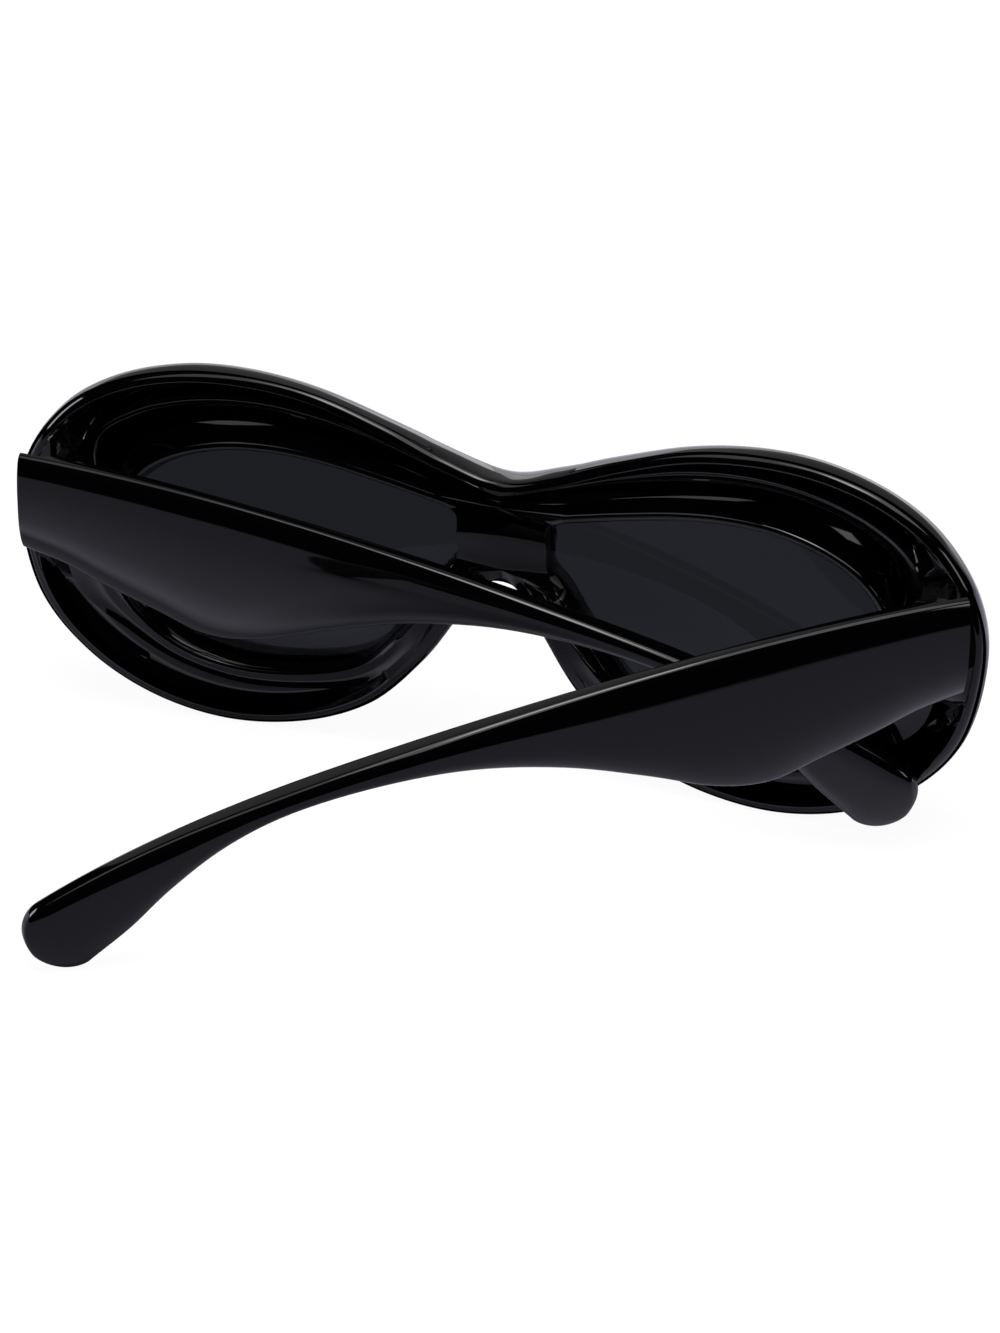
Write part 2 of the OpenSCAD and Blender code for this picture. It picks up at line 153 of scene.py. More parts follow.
def outline_share(k):
    base, share, points = int(k), k % 1, outline_shares
    if bridge_top <= k <= bridge_foot:
        after = points[min(base + 1, bridge_foot)]
        return 0.0, points[base][1] + (after[1] - points[base][1]) * share
    if base == bridge_top - 1:
        return smooth(points[base - 1], points[base], points[base + 1], mirrored(points[base]), share)
    if base == bridge_foot:
        return smooth(mirrored(points[base + 1]), points[base], points[base + 1], points[base + 2], share)
    return on_ring(points, k)


def sized(share):
    return Vector((share[0] * half_w, share[1] * half_h))


def rear_y(x):
    """The rear of the front wraps back toward its ends."""
    return wrap_rate * x * x


bridge_h = (sized(outline_share(bridge_top)) - sized(outline_share(bridge_foot))).length
print("bridge: %.1f mm from brow to nose arch" % bridge_h)

# %% [markdown]
# ## A loft
# The front, the lenses and the temples are all lofts: one closed section after another, joined by skin.
# The `bridge_loops` operator joins two closed loops of edges, and one call for each pair of neighbours keeps
# their order. A loft that comes back to its first section is closed. The others get a cap at each end.

# %% Loft helpers
def add_loop(shape, points):
    verts = [shape.verts.new(point) for point in points]
    return [shape.edges.new((a, b)) for a, b in zip(verts, verts[1:] + verts[:1])]


def loft(shape, sections, closed=False):
    loops = [add_loop(shape, points) for points in sections]
    for one, other in zip(loops, loops[1:] + (loops[:1] if closed else [])):
        bmesh.ops.bridge_loops(shape, edges=one + other)
    return loops


def cap(shape, loops):
    for loop in (loops[0], loops[-1]):
        bmesh.ops.contextual_create(shape, geom=loop)


def to_mesh(shape, name):
    mesh = bpy.data.meshes.new(name)
    shape.to_mesh(mesh)
    shape.free()
    return mesh


# %% [markdown]
# Every shape ends the same way. Its normals are turned outward, it is moved to its place in metres, and its
# faces are shaded smooth, apart from real edges, which stay sharp. Then it rides on its body and stands for
# its CAD node. A mirror turns a shape inside out, so a mirrored shape has its faces turned back.

# %% Finish a shape
def finished(name, shape, place, body, node, sharp=40.0):
    bmesh.ops.recalc_face_normals(shape, faces=shape.faces)
    shape.transform(Matrix.Scale(mm, 4) @ place)
    if place.determinant() < 0:
        bmesh.ops.reverse_faces(shape, faces=shape.faces)
    for face in shape.faces:
        face.smooth = True
    for edge in shape.edges:
        if len(edge.link_faces) == 2 and edge.calc_face_angle() > radians(sharp):
            edge.smooth = False
    volume = shape.calc_volume() / mm ** 3
    mesh = to_mesh(shape, name)
    piece = bpy.data.objects.new(name, mesh)
    bpy.context.scene.collection.objects.link(piece)
    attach(piece, body)
    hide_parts(node)
    print("%s: %d faces, %.0f mm3" % (name, len(mesh.polygons), volume))


# %% [markdown]
# ## The front
# The real front is one moulding. Its face is puffed like a cushion: from the lens opening it swells forward
# to a crest and rounds back to the rear edge. Its back is hollow. Going inward from the rear edge there is a
# narrow flat lip, a deep channel, a ring with two ridges, and a scooped slope down to the rim of the lens.
# Each spoke carries one closed section with all of these, so the whole front is a loft round each lens.
#
# At the bridge the spokes would meet in a star. So there each section first follows the ridge of the rim
# to the middle plane, and only then turns up to the brow or down to the nose arch. The ridge then crosses
# the bridge in one line, as it does on the moulding.
#
# A feature that isn't there all the way round has a span of four spokes. It grows between the first two,
# stays between the middle two, and fades between the last two.

# %% Spans
def ramp(low, high, value):
    share = min(1.0, max(0.0, (value - low) / (high - low)))
    return share * share * (3 - 2 * share)


def span(stops, k):
    return ramp(stops[0], stops[1], k) * (1 - ramp(stops[2], stops[3], k))


bridge_span = (8.0, 9.0, 11.0, 12.0)
nose_span = (9.5, 11.0, 13.2, 15.0)
seat_span = (-0.8, -0.1, 1.3, 2.6)
print("the bridge takes %.0f of %d spokes" % (bridge_span[3] - bridge_span[0], spokes))

# %% [markdown]
# A section lies over two straight runs: from the opening to the ridge of the rim, and from the ridge to the
# outline. `path` finds the three ends for a spoke. `on_path` turns a length along the runs into a place.

# %% Path of a section
rim_w = 2.0
rim_share = 0.6
ridge_top, ridge_foot = 0.485, 0.12


def path(k):
    opening, outline = sized(on_ring(opening_shares, k)), sized(outline_share(k))
    along = (outline - opening).normalized()
    reach = (outline - opening).length
    ridge = opening + along * min(rim_w, on_ring(ring_shares, k)[0] * reach * rim_share)
    fall = min(1.0, max(0.0, (k - bridge_top) / (bridge_foot - bridge_top)))
    middle = Vector((0, half_h * (ridge_top + (ridge_foot - ridge_top) * fall)))
    return opening, ridge.lerp(middle, span(bridge_span, k)), outline


def on_path(stops, out):
    opening, ridge, outline = stops
    rim_run, ring_run = (ridge - opening).length, (outline - ridge).length
    if out < rim_run:
        return opening.lerp(ridge, out / rim_run)
    return ridge + (outline - ridge) * ((out - rim_run) / ring_run)


# %% [markdown]
# The puffed face is a half wave from the opening to the rear edge, pushed outward by a swell so that it looks
# filled with air. At the bridge a half wave would meet its mirror image in a fold. So there the face bends
# into an arch whose crest stands over the ridge in the middle plane.

# %% The puffed face of one section
opening_depth = 6.8
crest_depth = 9.2
crest_dip = 0.15
swell = 1.4
brow_calm, foot_calm = 0.6, 0.35
full_power, bridge_power = 0.75, 2.2
narrow_below = half_h / 3
puff_steps = 24
middle_step = 15

face_span = (7.0, 9.0, 11.0, 12.6)
full_span = (6.5, 9.0, 11.0, 12.5)
brow_span = (4.0, 6.5, 7.5, 8.6)
foot_span = (12.5, 14.5, 19.0, 20.5)


def past_middle(n):
    return sin(pi / 2 * (n - middle_step) / (puff_steps - middle_step))


def front_face(rim_run, length, k):
    """Lengths and depths from the opening to the rear edge."""
    bend = span(face_span, k)
    corner = rim_run / length
    narrow = min(1.0, length / narrow_below)
    crest = crest_depth * (1 - crest_dip * ramp(bridge_foot - 1, bridge_foot, k))
    power = 1 + (full_power - 1) * span(full_span, k)
    swelling = (swell * (1 - bend) * (1 - brow_calm * span(brow_span, k))
                * (1 - foot_calm * span(foot_span, k)))
    places = []
    for n in range(1, puff_steps):
        if n <= middle_step:
            turn = pi / 2 * n / middle_step
            middle_t = corner * (1 - cos(turn))
            middle = opening_depth + (crest - opening_depth) * sin(turn)
        else:
            middle_t = corner + (1 - corner) * past_middle(n)
            middle = crest * max(0.0, 1 - past_middle(n) ** bridge_power) ** (1 / bridge_power)
        t = (1 - cos(pi * n / puff_steps)) / 2 * (1 - bend) + middle_t * bend
        turn = acos(max(-1.0, 1 - 2 * t))
        lobe = (opening_depth * (1 - t)
                + (crest_depth - opening_depth / 2) * max(0.0, sin(turn)) ** power * narrow)
        places.append((t * length + swelling * max(0.0, -sin(2 * turn)), -lobe * (1 - bend) - middle * bend))
    return places


# %% [markdown]
# The hollow back goes the other way, from the rear edge inward. First come the rounded edge, the lip and the
# channel, which is there over the brow and under the lens and runs out toward the hinge and the nose. Its
# walls are steep and its floor is nearly flat.

# %% Rear edge, lip and channel
lip_w = 1.6
lip_share = 0.8
edge_round = 0.3
edge_share = 0.2
rear_round = 1.3
round_share = 0.8
nose_sharp = 0.7
edge_steps = 5

channel_depth = 4.4
channel_power = 5
channel_least = 0.4
channel_steps = 10
brow_channel = (1.2, 2.9, 7.2, 8.8)
under_channel = (14.5, 15.0, 19.9, 20.8)


def lip_and_channel(ring_run, length, outer, pad, k):
    lip = min(lip_w, ring_run * lip_share)
    channel, soft = length - lip, min(edge_round, lip * edge_share)
    deep = channel_depth * (span(brow_channel, k) + span(under_channel, k))
    turns = [pi / 2 * (1 - step / edge_steps) for step in range(edge_steps + 1)]
    big = min(rear_round, lip * round_share) * (1 - nose_sharp * span(nose_span, k))
    places = [(length - big * (1 - sin(turn)), -big * (1 - cos(turn))) for turn in turns]
    places += [((length - big + channel + soft) / 2, 0), (channel + soft, 0)]
    for step in range(channel_steps + 1):
        share = (1 - cos(pi * step / channel_steps)) / 2
        hollow = 1 - abs(2 * share - 1) ** channel_power
        places.append((channel + (outer - channel) * share,
                       -max(deep * hollow, min(edge_round, deep) * channel_least) + pad * share))
    return places


# %% [markdown]
# Behind the channel lie the ring, with a shallow groove between its two ridges, and the slope down to the
# lens. The slope dips quickly and comes up slowly, so it catches one bright streak near its outer end. Along
# the nose the ring rises into a pad and both hollows fade.

# %% Ring and slope
ring_sink = 0.6
sink_share = 0.25
ring_steps = 6
nose_pad_rise = 1.0
pad_share = 0.8
pad_span = (11.4, 13.0, 13.4, 15.2)

scoop_depth = 3.2
scoop_middle = 0.38
ease_share, ease_end = 0.4, 0.6
rim_depth = 1.2
slope_steps = 14


def ring_groove(inner, outer, pad, k):
    ring = outer - inner
    sink = min(ring_sink, ring * sink_share) * (1 - span(nose_span, k)) * (1 - span(bridge_span, k))
    return [(outer - ring * step / ring_steps, pad - sink * sin(pi * step / ring_steps))
            for step in range(1, ring_steps)]


def slope(share, inner, rim_run, bead, pad, k):
    scoop = scoop_depth * min(1.0, (inner - rim_run) / rim_w / 2) * (1 - span(nose_span, k))
    drop = edge_round + (rim_depth + bead - edge_round) * share
    if share < scoop_middle:
        drop += scoop * sin(pi / 2 * share / scoop_middle)
    else:
        rise = (share - scoop_middle) / (1 - scoop_middle)
        drop += scoop * (1 - ease_share * ramp(0, ease_end, rise) - (1 - ease_share) * rise)
    return inner + (rim_run + bead - inner) * share, -drop + pad * pad_share * (1 - share)


# %% [markdown]
# The slope ends on a small bead, a curve with one corner, and the rim then rounds down into the groove of the
# lens. `rear_face` puts all the parts of the back in a row. In the lower half of the bridge the back sinks to
# the depth of the rim, which makes the flat face above the nose arch.

# %% The hollow back of one section
rim_bead = 0.4
bead_corner, bead_fall = 0.4, 0.1
rim_narrow = 0.7
rim_turn, rim_curl = (0.5, 0.4), [(1.15, 0.9), (0.85, 1.5)]
ridge_steps = 6
inner_least, outer_least = 0.1, 0.16
seat_points = range(edge_steps + 3, edge_steps + 3 + channel_steps + ring_steps)
ridge_point = seat_points.stop + slope_steps + ridge_steps // 2


def rear_face(rim_run, length, k):
    """Lengths and depths from the rear edge to the groove."""
    ring_run = length - rim_run
    narrow = ring_run * span(bridge_span, k)
    shares = on_ring(ring_shares, k)
    inner = max(shares[0] * length, rim_run + narrow * inner_least)
    outer = max(shares[1] * length, rim_run + narrow * outer_least)
    pad = nose_pad_rise * span(pad_span, k)
    rim = min(rim_run, rim_w) / 2 * (1 - rim_narrow * span(bridge_span, k))
    bead = (min(rim_bead, (inner - rim_run) / 3, (rim_run - rim) / 3)
            * (1 - span(bridge_span, k)) * (1 - span(nose_span, k)))

    places = lip_and_channel(ring_run, length, outer, pad, k) + ring_groove(inner, outer, pad, k)
    places += [slope(step / slope_steps, inner, rim_run, bead, pad, k) for step in range(slope_steps)]
    start = slope(1, inner, rim_run, bead, pad, k)
    corner = (rim_run + bead * bead_corner, -rim_depth)
    end = (rim_run - bead, -rim_depth - bead * bead_fall)
    for step in range(ridge_steps + 1):
        share = step / ridge_steps
        places.append(tuple(one * (1 - share) ** 2 + two * 2 * share * (1 - share) + three * share ** 2
                            for one, two, three in zip(start, corner, end)))
    sunk = rim_depth * (1 - ramp(bridge_foot, bridge_span[3], k)) if k > bridge_foot - 1 else 0
    places = [(out, depth - sunk) if index < ridge_point else (out, depth)
              for index, (out, depth) in enumerate(places)]
    places.append((rim + (rim_run - rim) * rim_turn[0], -rim_depth - edge_round * rim_turn[1]))
    return places + [(rim * out, -rim_depth - edge_round * down) for out, down in rim_curl]


# %% [markdown]
# One section is the face, the back, and three corners of the groove that holds the lens. Near the hinge its
# back is drawn to the flat seat of the hinge leaf, and at the bridge it hangs back a little at its foot.

# %% One closed section of the front
lens_t = 1.8
lens_back = 3.3
lens_bite = 0.6
lens_gap = 0.05
groove_front, groove_back = lens_back + lens_t + lens_gap, lens_back - lens_gap
bridge_hang = 0.8
hang_span = (9.2, 11.0, 11.0, 12.0)


def section(k):
    stops = path(k)
    rim_run = (stops[1] - stops[0]).length
    length = rim_run + (stops[2] - stops[1]).length
    places = [(0, -groove_front), (0, -opening_depth)] + front_face(rim_run, length, k)
    rear_start = len(places)
    places += rear_face(rim_run, length, k)
    rear_end = len(places)
    places += [(0, -groove_back), (lens_bite, -groove_back), (lens_bite, -groove_front)]
    seat = span(seat_span, k - spokes if k > spokes / 2 else k)
    points = []
    for index, (out, depth) in enumerate(places):
        at = on_path(stops, out)
        y = rear_y(at.x) + depth
        if rear_start <= index < rear_end:
            y -= bridge_hang * span(hang_span, k)
        if index - rear_start in seat_points:
            y += (seat_y - y) * seat
        points.append((at.x, y, at.y))
    return points


print("points in one section:", len(section(0)))

# %% [markdown]
# The loft runs once round the left lens. Its faces that lie in the middle plane are taken out, and the mirror
# operator makes the other half and joins the two along that plane.

# %% Loft the front
sections_per_spoke = 16
in_plane, same_place = 1e-6, 1e-4

shape = bmesh.new()
loft(shape, [section(n / sections_per_spoke) for n in range(spokes * sections_per_spoke)], closed=True)
middle = [face for face in shape.faces if all(abs(vert.co.x) < in_plane for vert in face.verts)]
bmesh.ops.delete(shape, geom=middle, context="FACES")
half = shape.verts[:] + shape.edges[:] + shape.faces[:]
bmesh.ops.mirror(shape, geom=half, axis="X", merge_dist=same_place)
bmesh.ops.remove_doubles(shape, verts=shape.verts, dist=same_place)
finished("front_shell", shape, stood, "front", "front_frame")

# %% [markdown]
# ## The lenses
# A lens is a plate cut to the opening, a little larger so that its edge sits in a groove. Its two faces
# follow the wrap of the front, which bends what they reflect. Rings of points run from its middle over the
# rear face, round the edge, and back over the front face.

# %% Make both lenses
lens_middle = sized((0.45, -0.02))
lens_points_per_spoke = 6
lens_rings = [0.04, 0.2, 0.4, 0.6, 0.75, 0.88, 0.96, 1.0]


def lens_section(share, back):
    points = []
    for n in range(spokes * lens_points_per_spoke):
        opening, ridge, _ = path(n / lens_points_per_spoke)
        edge = opening + (ridge - opening).normalized() * (lens_bite - lens_gap)
        at = lens_middle + (edge - lens_middle) * share
        points.append((at.x, rear_y(at.x) - back, at.y))
    return points


sides = {"left": Matrix.Diagonal((1, 1, 1, 1)), "right": Matrix.Diagonal((-1, 1, 1, 1))}
for word, flip in sides.items():
    shape = bmesh.new()
    cap(shape, loft(shape, [lens_section(share, lens_back) for share in lens_rings]
                    + [lens_section(share, lens_back + lens_t) for share in reversed(lens_rings)]))
    finished("lens_plate_" + word, shape, stood @ flip, "front", "lens_" + word, sharp=60)

# %% [markdown]
# ## The temples
# Each temple is one flat bar of plastic, broad behind the hinge, thin over the ear, and wide again at the
# tip. Its top edge droops steadily and then bends down behind the ear. `top_place` adds up short steps along
# that edge, each at its own angle of droop.

# %% The top edge of an arm
temple_l = 146.0
butt_top = 16.9
arm_droop = 20.5
droop_power = 0.73
ear_bend = 15.0
ear_start = 0.6


def past(run, start):
    return max(0.0, (run / temple_l - start) / (1 - start))


def droop(run):
    return radians(arm_droop * (run / temple_l) ** droop_power + ear_bend * past(run, ear_start) ** 2)


def top_place(run, pieces=40):
    step = run / pieces
    angles = [droop((n + 0.5) * step) for n in range(pieces)]
    return step * sum(cos(angle) for angle in angles), butt_top - step * sum(sin(angle) for angle in angles)


print("top edge: drops %.0f mm from butt to tip" % (butt_top - top_place(temple_l)[1]))

# %% [markdown]
# The arm is a loft along that edge. A station says how far along the edge it is and how deep the arm is
# there: deepest at the belly, about a fifth of the way, and thinnest at the neck, at seven tenths. The last
# stations shrink on a quarter turn, which rounds the tip.

# %% Stations along an arm
butt_h = 16.2
tip_round = 5.8
tip_open = 1.5
arm_steps = 6
tip_steps = 14
station_shares = [0, 0.05, 0.10, 0.16, 0.22, 0.28, 0.35, 0.43, 0.52, 0.61, 0.70, 0.77, 0.84, 0.90, 0.96]
depth_shares = [1, 1.09, 1.23, 1.36, 1.47, 1.36, 1.05, 0.71, 0.43, 0.28, 0.23, 0.31, 0.50, 0.69, 0.79]


def between(values, k):
    last = len(values) - 1
    base = min(int(k), last - 1)
    near = [values[min(last, max(0, base + step))] for step in (-1, 0, 1, 2)]
    return smooth(*[(value,) for value in near], k - base)[0]


count = (len(station_shares) - 1) * arm_steps
stations = [(between(station_shares, n / arm_steps) * temple_l,
             between(depth_shares, n / arm_steps) * butt_h, 1) for n in range(count + 1)]
tip_start, tip_depth = station_shares[-1] * temple_l, depth_shares[-1] * butt_h
for n in range(1, tip_steps + 1):
    angle = radians(90 * n / tip_steps - (tip_open if n == tip_steps else 0))
    stations.append((tip_start + tip_round * sin(angle), tip_depth, cos(angle)))
print("stations:", len(stations))

# %% [markdown]
# The section at each station is a rounded rectangle: a circle whose sine and cosine are raised to a power
# below one. Its outer side is a little crowned, its lower edge is slimmer than its upper one, and the whole
# arm bows in toward the head.

# %% Section of an arm
temple_t = 3.9
temple_crown = 0.6
temple_bow = 9.0
bow_start = 0.08
foot_share, foot_power = 0.35, 3
tip_thin = 0.35
pin_to_butt = 3.2
pin_to_face = 3.7
edge_power, face_power = 0.45, 0.36
section_points = 64


def powered(value, power):
    return abs(value) ** power * (1 if value > 0 else -1)


def arm_section(run, depth, narrow):
    place, tilt = top_place(run), droop(run)
    thin = temple_t / 2 * (tip_thin + (1 - tip_thin) * narrow)
    points = []
    for n in range(section_points):
        angle = 2 * pi * (n + 0.5) / section_points
        up = powered(cos(angle), edge_power)
        down = depth / 2 * (1 - up * narrow)
        outer = sin(angle) > 0
        crown = temple_crown * up * up * narrow if outer else 0
        slim = 1 - foot_share * max(0.0, -up) ** foot_power if outer else 1
        back = (pin_to_face - temple_t / 2 + thin * slim * powered(sin(angle), face_power) - crown
                - temple_bow * past(run, bow_start) ** 2)
        points.append((pin_out + pin_to_butt - place[0] + down * sin(tilt), pin_y + back,
                       place[1] - down * cos(tilt)))
    return points


# %% [markdown]
# The slot is cut with a boolean. The cutter is a disc that clears the knuckles and a block that opens the
# slot to the end, the inner face and the top of the butt, the same as on the CAD solid. `cut_arm` applies the
# modifiers and keeps only the finished mesh, so both temples can be made from it.

# %% Cut the hinge slot
knuckle_r = 1.4
knuckle_h = 2.2
head_below = 3.2
slot_gap = 0.35
slot_r = knuckle_r + slot_gap
slot_foot = butt_top - 3 * knuckle_h - head_below - slot_gap
slot_middle = slot_foot + butt_h / 2


def slot_cutters():
    disc = bmesh.new()
    bmesh.ops.create_cone(disc, cap_ends=True, segments=64, radius1=slot_r, radius2=slot_r, depth=butt_h,
                          matrix=Matrix.Translation((pin_out, pin_y, slot_middle)))
    block = bmesh.new()
    size = (2 * pin_to_butt, 3 * slot_r, butt_h)
    centre = Matrix.Translation((pin_out + pin_to_butt, pin_y - slot_r / 2, slot_middle))
    bmesh.ops.create_cube(block, size=1, matrix=centre @ Matrix.Diagonal((*size, 1)))
    return [bpy.data.objects.new(name, to_mesh(shape, name))
            for name, shape in (("slot_disc", disc), ("slot_block", block))]


def cut_arm():
    shape = bmesh.new()
    cap(shape, loft(shape, [arm_section(*station) for station in stations]))
    bmesh.ops.recalc_face_normals(shape, faces=shape.faces)
    arm = bpy.data.objects.new("arm", to_mesh(shape, "arm"))
    scene_objects = bpy.context.scene.collection.objects
    scene_objects.link(arm)
    cutters = slot_cutters()
    for cutter in cutters:
        scene_objects.link(cutter)
        cut = arm.modifiers.new(cutter.name, "BOOLEAN")
        cut.operation, cut.solver, cut.object = "DIFFERENCE", "EXACT", cutter
    bpy.context.view_layer.update()
    result = bpy.data.meshes.new_from_object(arm.evaluated_get(bpy.context.evaluated_depsgraph_get()))
    for thing in [arm] + cutters:
        bpy.data.objects.remove(thing)
    return result


arm_mesh = cut_arm()
print("faces of an arm:", len(arm_mesh.polygons))

# %% [markdown]
# The arm was drawn folded flat behind the front. Each temple turns about its own pin to its place in the
# photo: the left one is folded, and the right one stands half open.

# %% Place both temples
rest_open = {"left": 2.0, "right": 35.0}
pin = Vector((pin_out, pin_y, 0))
for word, flip in sides.items():
    shape = bmesh.new()
    shape.from_mesh(arm_mesh)
    turn = (Matrix.Translation(pin) @ Matrix.Rotation(-radians(rest_open[word]), 4, "Z")
            @ Matrix.Translation(-pin))
    finished("temple_arm_" + word, shape, stood @ flip @ turn, word + "_temple", "temple_" + word,
             sharp=55)

# %% [markdown]
# ## Finishes
# Every finish here is a Principled shader with a little noise on it. The noise reads Object coordinates, so
# it stays on its piece when a temple turns. These helpers add one node each and hand on its output.

# %% Node helpers
def new_material(name):
    material = bpy.data.materials.new(name)
    material.use_nodes = True
    nodes, links = material.node_tree.nodes, material.node_tree.links
    return material, nodes, links, nodes["Principled BSDF"]


def object_noise(nodes, links, scale, detail=3.0):
    place = nodes.new("ShaderNodeTexCoord")
    noise = nodes.new("ShaderNodeTexNoise")
    noise.inputs["Scale"].default_value = scale
    noise.inputs["Detail"].default_value = detail
    links.new(place.outputs["Object"], noise.inputs["Vector"])
    return noise.outputs["Fac"]


def ranged(nodes, links, value, source, target):
    change = nodes.new("ShaderNodeMapRange")
    for socket, number in zip(("From Min", "From Max", "To Min", "To Max"), (*source, *target)):
        change.inputs[socket].default_value = number
    links.new(value, change.inputs["Value"])
    return change.outputs["Result"]


def mapped(nodes, links, value, low, high):
    return ranged(nodes, links, value, (0, 1), (low, high))


def bumped(nodes, links, value, strength, distance):
    bump = nodes.new("ShaderNodeBump")
    bump.inputs["Strength"].default_value = strength
    bump.inputs["Distance"].default_value = distance
    links.new(value, bump.inputs["Height"])
    return bump.outputs["Normal"]


# %% [markdown]
# The plastic is black all through and polished. What shows of it is only its reflections, so its base
# colour is close to black, and small changes in roughness and height keep those reflections from looking
# computed.

# %% Black plastic
polish_scale, polish_rough = 90, (0.03, 0.07)
wave_scale, wave_strength, wave_height = 60, 0.05, 0.0004

black_plastic, nodes, links, shader = new_material("black_plastic")
shader.inputs["Base Color"].default_value = (0.0006, 0.0006, 0.0007, 1)
shader.inputs["Specular IOR Level"].default_value = 0.5
polish = mapped(nodes, links, object_noise(nodes, links, polish_scale), *polish_rough)
waves = bumped(nodes, links, object_noise(nodes, links, wave_scale, 1), wave_strength, wave_height)
links.new(polish, shader.inputs["Roughness"])
links.new(waves, shader.inputs["Normal"])
print("nodes in the plastic:", len(nodes))

# %% [markdown]
# The lenses are dark smoke plastic, flat-looking and so dark that the surface shows more than what lies
# behind it. Transmission with a low index of refraction lets a little of the floor through.

# %% Smoke lens
haze_scale, haze_rough = 40, (0.03, 0.06)

smoke_lens, nodes, links, shader = new_material("smoke_lens")
shader.inputs["Base Color"].default_value = (0.0122, 0.0134, 0.0166, 1)
shader.inputs["Transmission Weight"].default_value = 1.0
shader.inputs["IOR"].default_value = 1.25
haze = mapped(nodes, links, object_noise(nodes, links, haze_scale), *haze_rough)
links.new(haze, shader.inputs["Roughness"])
print("nodes in the lens:", len(nodes))

# %% [markdown]
# The hinge leaves are stamped from steel strip, with a fine grain along the strip. The screws are turned, so
# they are brighter. A stretched noise gives the grain.

# %% Hinge steel
grain_stretch, grain_scale = (300, 300, 4000), 3
grain_strength, grain_height = 0.15, 0.00005
least_rough, most_rough = 0.7, 1.4


def steel(name, colour, rough):
    material, nodes, links, shader = new_material(name)
    place = nodes.new("ShaderNodeTexCoord")
    stretch = nodes.new("ShaderNodeMapping")
    stretch.inputs["Scale"].default_value = grain_stretch
    grain = nodes.new("ShaderNodeTexNoise")
    grain.inputs["Scale"].default_value = grain_scale
    links.new(place.outputs["Object"], stretch.inputs["Vector"])
    links.new(stretch.outputs["Vector"], grain.inputs["Vector"])
    shader.inputs["Base Color"].default_value = (*colour, 1)
    shader.inputs["Metallic"].default_value = 1
    fine = grain.outputs["Fac"]
    links.new(mapped(nodes, links, fine, rough * least_rough, rough * most_rough), shader.inputs["Roughness"])
    links.new(bumped(nodes, links, fine, grain_strength, grain_height), shader.inputs["Normal"])
    return material


hinge_steel = steel("hinge_steel", (0.72, 0.72, 0.70), 0.28)
screw_steel = steel("screw_steel", (0.80, 0.80, 0.78), 0.18)
print("steels:", hinge_steel.name, screw_steel.name)

# %% [markdown]
# The hinge leaves and the screws are the CAD nodes themselves, because their shapes are right already. They
# only get a better material. A piece is known by its name.

# %% Give every piece its finish
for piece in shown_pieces():
    if piece.name.startswith(("front_shell", "temple_arm")):
        finish = black_plastic
    elif piece.name.startswith("lens_plate"):
        finish = smoke_lens
    elif "screw" in piece.name:
        finish = screw_steel
    else:
        finish = hinge_steel
    piece.data.materials.clear()
    piece.data.materials.append(finish)

# %% [markdown]
# ## Stage, light and camera
# A glossy black object shows its surroundings more than itself. The photo has a white sheet that ends a
# little behind the temples, pale panels overhead and beyond the front, and a dark room behind the camera.
# So the temples show the sheet as a grey that brightens toward their feet, their upper edges look past its
# end into the dark, and thin lines of the panels run along the rounded edges. That brightening is painted
# light in the sheet's colour, and where the front and the folded temple stand over the sheet it is painted
# shade.
#
# For the camera the floor is plain white and keeps a faint shadow. The function below paints, for mirrored
# rays only, how bright each place of the sheet looks: a painted pool of light near the front, fading to the
# sheet's end, and painted shade in a band under the front and in a round patch under the folded temple.

# %% The sheet as mirrored rays see it, with painted light and shade
toward_camera = (-0.210, 0.978, 0.0)
# Painted light and shade of the sheet: how bright it is painted near and far, and how deep the painted shade
# is in the band under the front and the patch under the folded temple.
near_start, sheet_end, end_fade = -0.02, 0.066, 0.004
near_power = 4.0
far_level, painted_near_light = 0.25, 0.9
painted_band_shade = 0.3
band_behind, band_before = (-0.090, -0.060), (-0.026, -0.017)
patch_middle, patch_reach, painted_patch_shade = (0.012, -0.005, 0.0), (0.012, 0.034), 0.4


def joined(nodes, links, kind, one, other):
    """One math node. Its two inputs are sockets or plain numbers."""
    math = nodes.new("ShaderNodeMath")
    math.operation = kind
    for socket, value in zip(math.inputs, (one, other)):
        if isinstance(value, (int, float)):
            socket.default_value = value
        else:
            links.new(value, socket)
    return math.outputs[0]


def measured(nodes, links, kind, place, other):
    """One vector math node that measures a place against another vector."""
    measure = nodes.new("ShaderNodeVectorMath")
    measure.operation = kind
    measure.inputs[1].default_value = other
    links.new(place, measure.inputs[0])
    return measure.outputs["Value"]


# Painted light and shade in the sheet's colour for mirrored rays: brighter near the front, darker in a band
# under the front and a patch under the folded temple.
def painted_sheet_level(nodes, links):
    place = nodes.new("ShaderNodeTexCoord").outputs["Object"]
    run = measured(nodes, links, "DOT_PRODUCT", place, toward_camera)
    away = measured(nodes, links, "DISTANCE", place, patch_middle)
    near = joined(nodes, links, "POWER",
                  ranged(nodes, links, run, (near_start, sheet_end), (1.0, 0.0)), near_power)
    clear = joined(nodes, links, "MAXIMUM", ranged(nodes, links, run, band_before, (painted_band_shade, 1.0)),
                   ranged(nodes, links, run, band_behind, (1.0, painted_band_shade)))
    under = joined(nodes, links, "MULTIPLY", clear,
                   ranged(nodes, links, away, patch_reach, (painted_patch_shade, 1.0)))
    level = joined(nodes, links, "MULTIPLY", mapped(nodes, links, near, far_level, painted_near_light), under)
    end = ranged(nodes, links, run, (sheet_end, sheet_end + end_fade), (1.0, 0.0))
    return joined(nodes, links, "MULTIPLY", level, end)


# %% [markdown]
# Light Path tells the floor which kind of ray looks at it. A camera ray sees mostly plain white light with a
# share of the lit floor, which keeps the shadow. A ray through a lens sees the white too. A mirrored ray sees
# the cool sheet, with the painted light and painted shade above in its colour.

# %% White floor that keeps its shadow
floor_grey = (0.86, 0.86, 0.86, 1)
sheet_tint = (0.90, 0.87, 1.06)
white_strength, white_share = 1.03, 0.92


